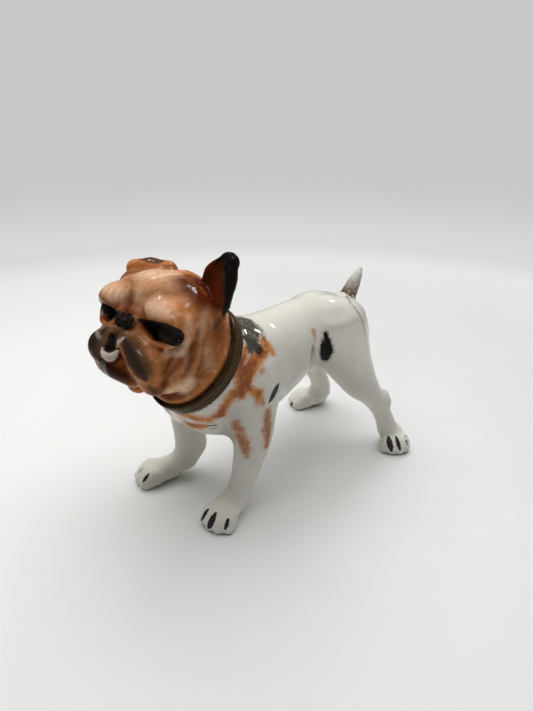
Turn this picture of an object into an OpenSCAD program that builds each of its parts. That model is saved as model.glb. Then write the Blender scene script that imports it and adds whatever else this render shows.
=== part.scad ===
// Porcelain bulldog figurine, put together as it is cast: a hollow torso and a hollow head,
// with solid legs, ears and tail luted on with slip, and a clay strap for the collar.
// Frame: the dog faces -Y, its left side is +X, +Z is up, and the soles stand on z = 0.
// All sizes are in millimetres.

/* [Porcelain] */
// Wall thickness of the hollow castings
wall = 2.8; // [2:0.1:3.4]
// Diameter of the vent hole in the belly
vent_d = 3; // [2:0.5:3.5]

/* [Head] */
// Turn of the head to the dog's left, in degrees
head_yaw = 15; // [10:1:20]
// Lift of the muzzle, in degrees
head_pitch = 16; // [12:1:20]
// Tilt of the head towards the dog's left, in degrees
head_roll = 4; // [0:1:8]

/* [Collar] */
// Width of the strap along the neck
strap_w = 5; // [4:0.5:6]
// How far the strap stands out of the neck
strap_t = 1.2; // [0.8:0.1:1.6]

/* [Hidden] */

glaze_white = "whitesmoke";
glaze_tan = "peru";
glaze_dark = "dimgray";
glaze_brown = "saddlebrown";

ring_sides = 24;         // points round a torso or neck section
limb_sides = 16;         // points round a limb section
between = 3;             // sections made from one station to the next
stand_at = [0, 8.6, 0];  // moves the figure so that its footprint is centred on the origin

head_at = [-1.2, -45.1, 69.8];   // middle of the skull
neck_at = [0, -37, 57.6];   // middle of the neck's luting face, which the collar covers
neck_lean = 41;
neck_r = 18;
shoulder_step = 0.6;     // how far the shoulders and the jowls stand out from the bare neck
front_cut = 26;          // height of the luting faces on the front legs
hind_cut = 34;           // height of the luting faces on the hind legs

// A station is [x, y, z, half width, half depth, lean]: the section's centre, its two radii,
// and how far its normal leans from straight ahead (0) to straight up (90).
torso_stations = [
    [0, 42.4, 50, 3, 3, 0],
    [0, 40.8, 50.2, 7.6, 7, 0],
    [0, 36, 51.2, 11.4, 10.8, 0],
    [0, 28, 52.2, 13.2, 12.6, 0],
    [0, 19, 53.2, 13.4, 13.6, 0],
    [0, 10, 52.6, 13.4, 14.2, 0],
    [0, 0, 49.9, 14.6, 16, 0],
    [0, -10, 47.6, 16.6, 17.8, 2],
    [0, -20, 47.2, 18, 19.4, 10],
    [0, -29, 48, 18.4, 20.4, 22],
    [0, -34, 52.4, 18.2, 19.2, 33],
];
front_left = [
    [15.2, -33.5, 5, 4.8, 5, 90],
    [15.2, -31.4, 9, 4.4, 4.8, 90],
    [15.5, -28.8, 14.5, 4.4, 5, 90],
    [15.9, -27, 21, 4.9, 6, 90],
    [16, -25.5, 27, 5.7, 6.9, 90],
    [15.4, -24.5, 34, 6.4, 8, 90],
    [13.6, -23.5, 44, 6.4, 9, 90],
    [11, -22, 54, 5, 8, 90],
];
front_right = [
    [-17.4, -36, 5, 5.2, 5.2, 90],
    [-17, -33.8, 8, 5.2, 5.2, 90],
    [-16.5, -32.4, 12.5, 5, 5.2, 90],
    [-16.3, -32.2, 19, 5.3, 5.8, 90],
    [-16, -31.4, 26, 5.9, 6.8, 90],
    [-15.4, -29.6, 34, 6.4, 8.4, 90],
    [-13.4, -26, 44, 6.4, 9.2, 90],
    [-10.5, -23, 54, 5, 8, 90],
];
hind_left = [
    [21.8, 43.6, 6.5, 4.4, 4.8, 90],
    [21.4, 41.2, 12.5, 3.9, 4.4, 90],
    [21, 38, 18.4, 3.8, 4.6, 90],
    [20.4, 33.6, 25, 4.5, 6.2, 90],
    [19.4, 28.3, 30.3, 5.8, 7.8, 90],
    [17.6, 24.4, 36.7, 7.1, 9.2, 90],
    [14.8, 22.2, 43, 8, 10.8, 90],
    [11.4, 21, 50, 7.6, 11, 90],
    [8, 20, 58, 5, 8, 90],
];
hind_right = [
    [-21.6, 45.5, 6, 4.9, 4.4, 90],
    [-20.2, 44.8, 11.3, 4.6, 4.3, 90],
    [-20.7, 42, 17.3, 4.3, 5.4, 90],
    [-19.7, 37.5, 24.4, 5.1, 6.2, 90],
    [-18, 30.5, 29.9, 5.2, 7.4, 90],
    [-16.5, 25.8, 36.5, 7.7, 8.6, 90],
    [-14, 22.7, 43.5, 8.3, 11.3, 90],
    [-11.6, 20.6, 50.2, 7, 11.2, 90],
    [-8.4, 19.7, 58.3, 4.5, 7.5, 90],
];
tail_stations = [
    [0, 35, 59, 3.4, 3.6, 66],
    [0, 37.4, 63, 2.9, 3.1, 66],
    [0, 39.8, 67, 2.2, 2.4, 70],
    [0, 42, 70.2, 1.5, 1.6, 76],
    [0, 43.4, 72.4, 0.7, 0.7, 80],
];

// Catmull-Rom blend of four stations at t from 0 to 1.
function blend(a, b, c, d, t) = 0.5 * ((2 * b) + (c - a) * t
    + (2 * a - 5 * b + 4 * c - d) * t * t + (3 * b - a - 3 * c + d) * t * t * t);
function smooth(s) = [for (i = [0:len(s) - 2]) for (k = [0:between - 1])
    blend(s[max(i - 1, 0)], s[i], s[i + 1], s[min(i + 2, len(s) - 1)], k / between),
    s[len(s) - 1]];

// The points round one station's section, drawn in by inset.
function section(s, sides, inset = 0) = [for (k = [0:sides - 1]) let (t = 360 * k / sides)
    [s[0] + (s[3] - inset) * cos(t),
     s[1] + (s[4] - inset) * sin(t) * sin(s[5]),
     s[2] + (s[4] - inset) * sin(t) * cos(s[5])]];

// A round section of the neck, at a height above the luting face.
function neck_station(height, r = neck_r) = [neck_at[0], neck_at[1] - height * cos(neck_lean),
    neck_at[2] + height * sin(neck_lean), r, r, neck_lean];

// The triangles between ring a and ring b of a skin.
function band(a, b, sides) = [for (k = [0:sides - 1]) for (half = [0, 1]) let (j = (k + 1) % sides)
    half == 0 ? [a * sides + k, b * sides + k, b * sides + j]
              : [a * sides + k, b * sides + j, a * sides + j]];

// A closed skin through the stations, with a flat cap at each end.
module skin(stations, sides, inset = 0) {
    last = len(stations) - 1;
    polyhedron([for (s = stations) each section(s, sides, inset)], concat(
        [[for (k = [0:sides - 1]) k], [for (k = [sides - 1:-1:0]) last * sides + k]],
        [for (i = [0:last - 1]) each band(i, i + 1, sides)]));
}

// A hoop through the stations, where the last meets the first.
module hoop(stations, sides) {
    n = len(stations);
    polyhedron([for (s = stations) each section(s, sides)],
        [for (i = [0:n - 1]) each band(i, (i + 1) % n, sides)]);
}

module ball(at, r, fn = 20) {
    translate(at) scale(is_list(r) ? r : [r, r, r]) sphere(1, $fn = fn);
}

// A lobe from one ball to another, each given as [centre, radii].
module lobe(a, b, fn = 20) {
    hull() {
        ball(a[0], a[1], fn);
        ball(b[0], b[1], fn);
    }
}
module both_sides() {
    children();
    mirror([1, 0, 0]) children();
}

// Keeps what is above or below a height.
module above(height) { translate([-100, -100, height]) cube(200); }
module below(height) { translate([-100, -100, height - 200]) cube(200); }

module limb(stations) { skin(smooth(stations), limb_sides); }

module on_neck() {
    translate(neck_at) rotate([90 - neck_lean, 0, 0]) children();
}

// Keeps what lies on the body's side of the strap's lower edge, or the head's side of its
// upper edge, and puts the bare neck under the strap back on.
module trimmed_to_neck(side) {
    difference() {
        children();
        on_neck() translate([-50, -50, side < 0 ? -strap_w / 2 : strap_w / 2 - 100]) cube(100);
    }
    skin(side < 0 ? [neck_station(-strap_w / 2 - 1), neck_station(0)]
                  : [neck_station(0), neck_station(strap_w / 2 + 1)], ring_sides);
}

module torso_form() trimmed_to_neck(-1) {
    skin(concat(smooth(torso_stations), [neck_station(-0.8 - strap_w / 2, neck_r + shoulder_step),
        neck_station(0.9 - strap_w / 2, neck_r + shoulder_step)]), ring_sides);
    for (s = [front_left, front_right])
        intersection() { limb(s); above(front_cut); }
    for (s = [hind_left, hind_right])
        intersection() { limb(s); above(hind_cut); }
    lobe([[11.1, -25.5, 39.2], [5.6, 7.8, 9.5]], [[7.4, -31.1, 39.8], [7.9, 8.2, 9.6]]);
    lobe([[-11.4, -31.2, 37.4], [5.4, 8.1, 9.3]], [[-9, -35.8, 38.5], [7.8, 8.7, 8.2]]);
    both_sides() {
        lobe([[6.4, -18.7, 56.6], [6.9, 9.9, 6.1]], [[11.7, -25.2, 44], [6, 8.9, 8.7]]);
        lobe([[6.2, 26.7, 56.4], [6.5, 8.5, 7.6]], [[10.4, 24.2, 47.1], [7.6, 9.9, 8.3]]);
        lobe([[4.2, 33.3, 55], [6, 5.4, 5.6]], [[7.1, 33.3, 46.9], [5.9, 6.2, 8.4]]);
    }
}

module torso() color(glaze_white) translate(stand_at) difference() {
    torso_form();
    skin(concat([for (i = [6:between * (len(torso_stations) - 1)]) smooth(torso_stations)[i]],
        [neck_station(-strap_w / 2), neck_station(1)]), ring_sides, wall);
    translate([0, 5, 30]) cylinder(h = 20, d = vent_d, $fn = 24);
}

module in_head() {
    translate(head_at) rotate([0, 0, head_yaw]) rotate([-head_pitch, 0, 0])
        rotate([0, head_roll, 0]) children();
}

// The skull and the throat that carries it down to the neck, drawn in by inset.
module head_core(inset = 0) {
    less = [inset, inset, inset];
    in_head() hull() {
        ball([0, 2, 4], [16, 14, 14] - less, 28);
        both_sides() {
            ball([11.5, -8.5, 5.5], [6, 6, 6] - less);
            ball([10, 1, -6], [8, 10, 9] - less);
        }
    }
    hull() {
        skin([neck_station(strap_w / 2 - 1, neck_r + shoulder_step),
            neck_station(strap_w / 2 + 1.5, neck_r + shoulder_step)], ring_sides, inset);
        in_head() both_sides() {
            ball([9, 3, -5], [8.4, 10, 10] - less);
            ball([7, 8, 4], [8, 7, 9] - less);
        }
    }
}

module head_form() trimmed_to_neck(1) {
    head_core();
    in_head() {
        lobe([[0, -11, -1], [8, 6, 5]], [[0, -11.5, -10], [9, 6.5, 5.5]]);
        lobe([[-3, -15, -12], [4.5, 4.5, 4]], [[3, -15, -12], [4.5, 4.5, 4]]);
        lobe([[-2.2, -16.2, 3], [2.6, 2.4, 2.4]], [[2.2, -16.2, 3], [2.6, 2.4, 2.4]]);
        both_sides() {
            lobe([[6.5, -9.5, 7.5], [5.5, 4.5, 4.5]], [[12.5, -9.2, 6.5], [5.6, 5.6, 5.6]]);
            lobe([[3.2, -15.5, -3.5], [3.4, 3.4, 3.6]], [[9.8, -13.5, -8.5], [5, 5, 5]]);
            lobe([[9.8, -13.5, -8.5], [5, 5, 5]], [[11.5, -8.5, -13], [4.6, 4.6, 4]]);
            lobe([[13, -4, -4], [6, 7, 7]], [[12.5, -2, -9], [6, 7, 7]]);
            ball([12, -11, 1.8], 3);
        }
    }
}

module head() color(glaze_tan) translate(stand_at) difference() {
    head_form();
    head_core(wall);
    skin([neck_station(-1), neck_station(strap_w / 2)], ring_sides, wall);
}

module ear_left() color(glaze_dark) translate(stand_at) difference() {
    in_head() {
        lobe([[8.5, 2, 15], [3, 2.4, 4]], [[11.5, 4, 22.5], [2.4, 1.6, 2.4]]);
        lobe([[11.5, 4, 22.5], [2.4, 1.6, 2.4]], [[15, 4.6, 24.8], [2.4, 1.5, 2.2]]);
        lobe([[15, 4.6, 24.8], [2.4, 1.5, 2.2]], [[17.6, 4.8, 21], [2.4, 1.6, 3]]);
        lobe([[17.6, 4.8, 21], [2.4, 1.6, 3]], [[16, 5, 12], [3, 2.6, 4]]);
        lobe([[12.5, 4, 13], [3.5, 2.6, 4]], [[14.5, 4.8, 22], [2.6, 1.6, 2.6]]);
        lobe([[8.5, 2, 15], [3, 2.4, 4]], [[16, 5, 12], [3, 2.6, 4]]);
    }
    in_head() {
        lobe([[11.8, -0.4, 17], [2.6, 2.8, 2.6]], [[14.6, 1.4, 22.6], [1.8, 2.2, 1.8]]);
        lobe([[11.8, -0.4, 17], [2.6, 2.8, 2.6]], [[15.4, 1.2, 17], [2.4, 2.6, 2.6]]);
    }
    head_form();
}
module ear_right() color(glaze_dark) translate(stand_at) difference() {
    in_head() {
        lobe([[-8, 4, 16], [2.6, 3.4, 3.4]], [[-14, 3.4, 16.2], [3, 3.6, 2.6]]);
        lobe([[-14, 3.4, 16.2], [3, 3.6, 2.6]], [[-19.5, 2, 13.6], [3, 3.6, 2.4]]);
        lobe([[-9, 4, 13], [3, 4, 4]], [[-15, 4, 11], [3.4, 4.4, 4]]);
        lobe([[-14, 3.4, 16.2], [3, 3.6, 2.6]], [[-15, 4, 11], [3.4, 4.4, 4]]);
    }
    head_form();
}

module collar() color(glaze_brown) translate(stand_at) hoop([
    neck_station(-strap_w / 2),
    neck_station(-strap_w / 2, neck_r + strap_t * 0.6),
    neck_station(-strap_w / 4, neck_r + strap_t),
    neck_station(strap_w / 4, neck_r + strap_t),
    neck_station(strap_w / 2, neck_r + strap_t * 0.6),
    neck_station(strap_w / 2)], ring_sides);

// A paw: a rounded foot with four toes, flat below, turned by turn.
module paw(at, turn, length, width) {
    translate(at) rotate([0, 0, turn]) intersection() {
        union() {
            lobe([[0, 0, 4.4], [width * 0.35, 5, 4.4]],
                [[0, -length * 0.42, 3], [width * 0.45, 4.6, 3.9]]);
            for (k = [-1.5:1:1.5])
                lobe([[k * width * 0.21, -length * 0.4, 3.4], [width * 0.17, 4, 3.4]],
                    [[k * width * 0.21, -length * 0.64 + abs(k) * 1.3, 2],
                        [width * 0.16, 2.8, 2.6]], 14);
        }
        above(0);
    }
}
// A leg below its luting face; heel is where the limb comes down into the paw.
module leg(stations, cut, heel, turn, length, width) translate(stand_at) {
    intersection() { limb(stations); below(cut); }
    paw(heel, turn, length, width);
}

module front_leg_left() color(glaze_white)
    leg(front_left, front_cut, [14.6, -36, 0], 24, 13, 13.5);
module front_leg_right() color(glaze_white)
    leg(front_right, front_cut, [-17.8, -40, 0], -22, 18, 13.5);
module hind_leg_left() color(glaze_white)
    leg(hind_left, hind_cut, [22.5, 45.5, 0], 52, 13, 13);
module hind_leg_right() color(glaze_white)
    leg(hind_right, hind_cut, [-22, 44.5, 0], -32, 17, 13);
module tail() color(glaze_white) translate(stand_at) difference() {
    skin(smooth(tail_stations), limb_sides);
    torso_form();
}

torso();
head();
ear_left();
ear_right();
collar();
front_leg_left();
front_leg_right();
hind_leg_left();
hind_leg_right();
tail();
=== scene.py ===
import math
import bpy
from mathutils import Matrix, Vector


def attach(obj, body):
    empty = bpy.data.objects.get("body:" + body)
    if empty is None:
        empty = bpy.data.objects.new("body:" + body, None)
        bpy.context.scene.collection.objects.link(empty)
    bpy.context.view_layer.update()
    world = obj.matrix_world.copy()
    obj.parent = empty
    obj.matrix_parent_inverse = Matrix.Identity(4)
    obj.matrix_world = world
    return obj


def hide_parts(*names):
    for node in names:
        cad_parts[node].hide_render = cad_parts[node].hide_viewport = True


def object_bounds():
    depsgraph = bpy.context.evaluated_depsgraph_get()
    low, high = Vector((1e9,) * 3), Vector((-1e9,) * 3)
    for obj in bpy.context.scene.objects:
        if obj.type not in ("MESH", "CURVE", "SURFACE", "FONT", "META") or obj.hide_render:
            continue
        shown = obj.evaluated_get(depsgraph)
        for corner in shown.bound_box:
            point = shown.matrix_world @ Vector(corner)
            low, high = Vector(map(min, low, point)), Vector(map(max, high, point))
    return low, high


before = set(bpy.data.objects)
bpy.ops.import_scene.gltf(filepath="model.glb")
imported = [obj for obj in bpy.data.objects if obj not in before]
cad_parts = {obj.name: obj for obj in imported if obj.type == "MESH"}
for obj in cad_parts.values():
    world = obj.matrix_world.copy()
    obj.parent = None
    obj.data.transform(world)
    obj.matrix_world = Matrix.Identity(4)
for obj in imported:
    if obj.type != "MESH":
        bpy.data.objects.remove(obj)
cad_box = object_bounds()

from concurrent.futures import ThreadPoolExecutor
from itertools import product

import bpy
import numpy as np
from mathutils import Matrix, Vector

# The figure is modelled in millimetres, in the part's own layout: +Z up, the dog facing -Y.
# One design unit is a millimetre of a figure that is 93.5 tall.
DESIGN_HEIGHT = 93.5
MM = (cad_box[1][2] - cad_box[0][2]) / DESIGN_HEIGHT
STAND_Y = 8.6                       # how far the layout is moved back to centre its footprint
BODY_CELL = 0.42
HEAD_CELL = 0.3


def vec(*v):
    return np.array(v, dtype=np.float32)


def turn(axis, deg):
    """The rotation about the axis of that number."""
    i, j = (axis + 1) % 3, (axis + 2) % 3
    m = np.eye(3)
    m[i, i] = m[j, j] = math.cos(math.radians(deg))
    m[j, i] = math.sin(math.radians(deg))
    m[i, j] = -m[j, i]
    return m


HEAD_AT = vec(-1.2, -45.1, 69.8)
HEAD_TURN = (turn(2, 15) @ turn(0, -16) @ turn(1, 4)).astype(np.float32)
NECK_AT = vec(0, -37, 57.6)
NECK_LEAN = math.radians(41)
NECK_UP = vec(0, -math.cos(NECK_LEAN), math.sin(NECK_LEAN))
NECK_BACK = vec(0, math.sin(NECK_LEAN), math.cos(NECK_LEAN))
NECK_R = 18
THROAT_R = 17.2
NECK_LAP = 1.2                      # how far head and body each run past the neck's plane
STRAP_W = 5
VENT_Y, VENT_R, VENT_TOP = 5, 1.5, 42
FRONT_SEAM, HIND_SEAM = 26, 34      # heights where the legs meet the torso
TAIL_SEAM, TAIL_WAY = (0, 38.4, 65.2), (0, 0.5, 0.87)
BODY_BOX = (-37, -62, -1.5), (38, 57, 79)
HEAD_BOX = (-27, -73, 38), (27, -18, 100)
PROBE = 0.12                        # how far apart a field is sampled to find its slope



def above_neck(P):
    """Height over the plane where the head meets the body, under the collar."""
    return NECK_UP @ (P - NECK_AT[:, None])


# ---------------------------------------------------------------- distance shapes


def smin(a, b, k):
    h = np.maximum(k - np.abs(a - b), 0) / k
    return np.minimum(a, b) - h * h * (k / 4)


def smax(a, b, k):
    return -smin(-a, -b, k)


def mirrored(P):
    return np.vstack([np.abs(P[:1]), P[1:]])


def three(r):
    return (r, r, r) if np.isscalar(r) else r


def lobe(P, a, ra, b=None, rb=None):
    """A soft lump from one ellipsoid to another."""
    ra = three(ra)
    if b is None:
        x, y, z = P[0] - a[0], P[1] - a[1], P[2] - a[2]
        rx, ry, rz = ra
    else:
        rb = three(rb)
        ab = [b[i] - a[i] for i in range(3)]
        n = sum(v * v for v in ab)
        t = ((P[0] - a[0]) * ab[0] + (P[1] - a[1]) * ab[1] + (P[2] - a[2]) * ab[2]) / n
        t = np.clip(t, 0, 1)
        x, y, z = (P[i] - a[i] - t * ab[i] for i in range(3))
        rx, ry, rz = (ra[i] + t * (rb[i] - ra[i]) for i in range(3))
    x, y, z = x / rx, y / ry, z / rz
    k0 = np.sqrt(x * x + y * y + z * z)
    k1 = np.sqrt((x / rx) ** 2 + (y / ry) ** 2 + (z / rz) ** 2)
    return k0 * (k0 - 1) / np.maximum(k1, 1e-5)


def string(P, pts):
    """A round cord through points of (x, y, z, radius)."""
    d = lobe(P, pts[0][:3], pts[0][3]) if len(pts) == 1 else None
    for p, q in zip(pts[:-1], pts[1:]):
        e = lobe(P, p[:3], p[3], q[:3], q[3])
        d = e if d is None else np.minimum(d, e)
    return d


def near(P, lo, hi, fn):
    """fn where P is near a box, and far away elsewhere."""
    pad = 7
    m = np.ones(P.shape[1], bool)
    for i in range(3):
        m &= (P[i] > lo[i] - pad) & (P[i] < hi[i] + pad)
    d = np.full(P.shape[1], 60, np.float32)
    if m.any():
        d[m] = fn(P[:, m])
    return d


def smooth(stations):
    """Catmull-Rom through the stations."""
    steps = 6
    s = np.array(stations, float)
    e = np.vstack([2 * s[0] - s[1], s, 2 * s[-1] - s[-2]])
    out = []
    for i in range(len(s) - 1):
        a, b, c, d = e[i:i + 4]
        for t in np.arange(steps) / steps:
            out.append(0.5 * (2 * b + (c - a) * t + (2 * a - 5 * b + 4 * c - d) * t * t
                              + (3 * b - a - 3 * c + d) * t ** 3))
    return np.array(out + [s[-1]], np.float32)


def ellipse(u, v, a, b):
    u, v = u / a, v / b
    k0 = np.sqrt(u * u + v * v)
    k1 = np.sqrt((u / a) ** 2 + (v / b) ** 2)
    return k0 * (k0 - 1) / np.maximum(k1, 1e-5)


def column(P, s):
    """A limb whose level sections are ellipses; s is smooth() of (x, y, z, half x, half y)."""
    z = np.clip(P[2], s[0, 2], s[-1, 2])
    x, y, a, b = (np.interp(z, s[:, 2], s[:, i]).astype(np.float32) for i in (0, 1, 3, 4))
    d = ellipse(P[0] - x, P[1] - y, a, b)
    over = P[2] - z
    return np.where(over != 0, np.hypot(np.maximum(d, 0), over), d)


def barrel(P, s):
    """A body whose sections stand across its own axis; s is smooth() of (x, y, z, a, b, lean)."""
    n = np.arange(len(s), dtype=np.float32)
    cx, cy, cz, a, b = (s[:, i] for i in range(5))
    lean = np.radians(s[:, 5])
    ty, tz = np.gradient(cy), np.gradient(cz)
    t = np.interp(-P[1], -cy, n)

    def section(t):
        y, z, l = (np.interp(t, n, g) for g in (cy, cz, lean))
        c, d = np.cos(l), np.sin(l)
        qy, qz = P[1] - y, P[2] - z
        return c, d, qz * d - qy * c, qz * c + qy * d

    for _ in range(6):
        c, d, r, v = section(t)
        gy, gz, gl = (np.interp(t, n, g) for g in (ty, tz, np.gradient(lean)))
        slope = gz * d - gy * c - v * gl
        t = np.clip(t + r / np.maximum(slope, 0.25 * np.abs(gy) + 0.05), 0, n[-1])
    r, v = section(t)[2:]
    e = ellipse(P[0] - np.interp(t, n, cx), v, np.interp(t, n, a), np.interp(t, n, b))
    out = np.where(np.abs(r) > 0.05, np.hypot(np.maximum(e, 0), r), e)
    return out.astype(np.float32)


# ---------------------------------------------------------------- the body

TORSO = smooth([
    (0, 42.4, 50, 3, 3, 0), (0, 40.8, 50.2, 7.6, 7, 0), (0, 36, 51.2, 11.4, 10.8, 0),
    (0, 28, 52.2, 13.2, 12.6, 0), (0, 19, 53.2, 13.4, 13.6, 0), (0, 10, 52.6, 13.4, 14.2, 0),
    (0, 0, 49.9, 14.6, 16, 0), (0, -10, 47.6, 16.6, 17.8, 2), (0, -20, 47.2, 18, 19.4, 10),
    (0, -29, 48, 18.4, 20.4, 22), (0, -34, 52.4, 18.2, 19.2, 33), (0, -37.4, 58, 18, 18, 41),
    (0, -41, 61, 17.8, 17.8, 41)])
FRONT_LEFT = smooth([
    (15.2, -33.5, 5, 4.8, 5), (15.2, -31.4, 9, 4.4, 4.8), (15.5, -28.8, 14.5, 4.4, 5),
    (15.9, -27, 21, 4.9, 6), (16, -25.5, 27, 5.7, 6.9), (15.4, -24.5, 34, 6.4, 8),
    (13.6, -23.5, 44, 6.4, 9), (11, -22, 54, 5, 8)])
FRONT_RIGHT = smooth([
    (-16.8, -35.2, 5, 5.6, 5.8), (-16.2, -33, 8.4, 5.8, 6), (-15.5, -31.4, 12.5, 6.2, 6.2),
    (-15.7, -31.4, 19, 5.8, 6.2), (-16, -31.4, 26, 5.9, 6.8), (-15.4, -29.6, 34, 6.4, 8.4),
    (-13.4, -26, 44, 6.4, 9.2), (-10.5, -23, 54, 5, 8)])
HIND_LEFT = smooth([
    (21.8, 43.6, 6.5, 4.4, 4.8), (21.4, 41.2, 12.5, 3.9, 4.4), (21, 38, 18.4, 3.8, 4.6),
    (20.4, 33.6, 25, 4.5, 6.2), (19.4, 28.3, 30.3, 5.8, 7.8), (17.6, 24.4, 36.7, 7.1, 9.2),
    (14.8, 22.2, 43, 8, 10.8), (11.4, 21, 50, 7.6, 11), (8, 20, 58, 5, 8)])
HIND_RIGHT = smooth([
    (-21.4, 45.4, 6, 5, 5), (-20.6, 45, 11, 4.6, 4.8), (-20, 42, 17, 4.4, 4.8),
    (-19.4, 37, 24.4, 4.8, 6), (-18.4, 30.5, 30.3, 5.8, 7.8), (-17.2, 25.4, 36.7, 7.1, 9.2),
    (-14.6, 22.4, 43, 8, 10.8), (-11.4, 21, 50, 7.6, 11), (-8, 20, 58, 5, 8)])
TAIL = [(0, 35, 60, 4), (0, 37.4, 63.6, 3.2), (0, 39.8, 67.2, 2.7), (0, 42, 70.4, 1.9),
        (0, 43.3, 72.4, 1)]
# where each paw stands, its turn, its length and its width
PAWS = [((14.6, -36, 0), 24, 13, 13.5), ((-17.8, -40, 0), -22, 18, 13.5),
        ((22.5, 45.5, 0), 52, 13, 13), ((-22, 44.5, 0), -32, 18.5, 13)]


def paw(P, at, way, length, width):
    q = turn(2, -way).astype(np.float32) @ (P - vec(*at)[:, None])
    w = width
    d = lobe(q, (0, 0, 4.6), (w * 0.35, 5, 4.6), (0, -length * 0.42, 3.4), (w * 0.45, 4.6, 3.8))
    toes = None
    for k in (-1.5, -0.5, 0.5, 1.5):
        toe = lobe(q, (k * w * 0.2, -length * 0.38, 3.6), (w * 0.17, 4, 3.4),
                   (k * w * 0.22, -length * 0.64 + abs(k) * 1.3, 2.2), (w * 0.155, 2.8, 2.6))
        toes = toe if toes is None else smin(toes, toe, 1.3)
    return smin(d, toes, 1.2)


def torso_field(P):
    S = mirrored(P)
    d = barrel(P, TORSO)
    for e, k in (
            (lobe(P, (11, -26, 39), (5.6, 7.6, 8.6), (7, -31.2, 40), (7.6, 7.8, 8.8)), 4),
            (lobe(P, (-12, -31, 38), (5.6, 7.6, 8.6), (-9.2, -35.6, 38.4), (7.2, 8.4, 8.2)), 4),
            (lobe(P, (-10.8, -38, 42.6), (7, 6.6, 7.2), (-6, -36.4, 38), (7, 6.6, 7)), 4),
            (lobe(S, (7, -18.5, 56), (6.6, 9.6, 6.1), (11.6, -25, 44), (6.2, 8.6, 8.6)), 5),
            (lobe(S, (5, 21, 58.8), (6.2, 8, 6.6), (6, 28, 56.8), (6.2, 7.6, 6.6)), 5),
            (lobe(S, (7, 26, 55), (6.2, 8.6, 6.6), (10.2, 24, 47), (7.2, 9.6, 8)), 5),
            (lobe(S, (4, 33, 55.2), (5.2, 5.8, 4.8), (6.8, 33.2, 47), (5.8, 6.2, 7.8)), 5)):
        d = smin(d, e, k)
    return d


def body_field(P):
    d = near(P, (-24, -58, 26), (24, 46, 78), torso_field)
    for leg, foot, k in ((FRONT_LEFT, PAWS[0], 5), (FRONT_RIGHT, PAWS[1], 5),
                         (HIND_LEFT, PAWS[2], 6), (HIND_RIGHT, PAWS[3], 6)):
        lo, hi = leg[:, :3].min(0) - 11, leg[:, :3].max(0) + 11
        d = smin(d, near(P, lo, hi, lambda Q, leg=leg: column(Q, leg)), k)
        c = vec(*foot[0])
        d = smin(d, near(P, c - 17, c + 17, lambda Q, foot=foot: paw(Q, *foot)), 2.5)
    for x, y in ((21, 38), (-20, 41)):     # hocks
        d = smin(d, lobe(P, (x, y, 25), (2.9, 3.2, 2.6), (x + 0.2, y + 2, 22), (2.6, 2.6, 2.4)), 2)
    groin = string(P, [(13.4, 4.6, 53, 0.1), (14, 4.6, 49.5, 0.4), (13.4, 4.2, 45, 0.4), (11, 4, 41, 0.2)])
    d = smax(d, -groin, 2)
    d = smin(d, near(P, (-4, 30, 56), (4, 47, 74), lambda Q: string(Q, TAIL)), 2.2)
    vent = smax(np.hypot(P[0], P[1] - VENT_Y) - VENT_R, P[2] - VENT_TOP, 0.4)
    d = smax(d, -vent, 0.5)
    d = smax(d, -P[2], 0.5)
    return smax(d, above_neck(P) - NECK_LAP, 0.3)


# ---------------------------------------------------------------- the head


ASIDE = vec(0.662, -0.715, 0.223)        # across the dog's left cheek, in the head's own axes


def beside(q, pts):
    """How far q is to the side of a painted or carved line, seen along ASIDE, less its half width."""
    axis = ASIDE / np.linalg.norm(ASIDE)
    flat = q - axis[:, None] * (axis @ q)
    line = []
    for x, y, z, r in pts:
        p = vec(x, y, z)
        line.append((*(p - axis * (axis @ p)), r))
    return string(flat, line)


CREASES = [  # local points and half widths, then depth
    ([(17.2, -7.6, 0.4, 0.4), (16.8, -8.6, -2.6, 0.8), (15.8, -10.2, -6, 0.9), (14.8, -11.4, -9.4, 0.8),
      (13.4, -12.4, -12.6, 0.4)], 0.55),
    ([(17.6, -6.4, 4.4, 0.3), (17.4, -5.8, 0.4, 0.6), (17.4, -6.6, -4, 0.8), (16.8, -7.8, -9, 0.5)], 0.35),
    ([(17.8, -3.4, 1, 0.3), (18.2, -3.2, -5, 0.5), (17.8, -4, -10.6, 0.4)], 0.22)]


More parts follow.
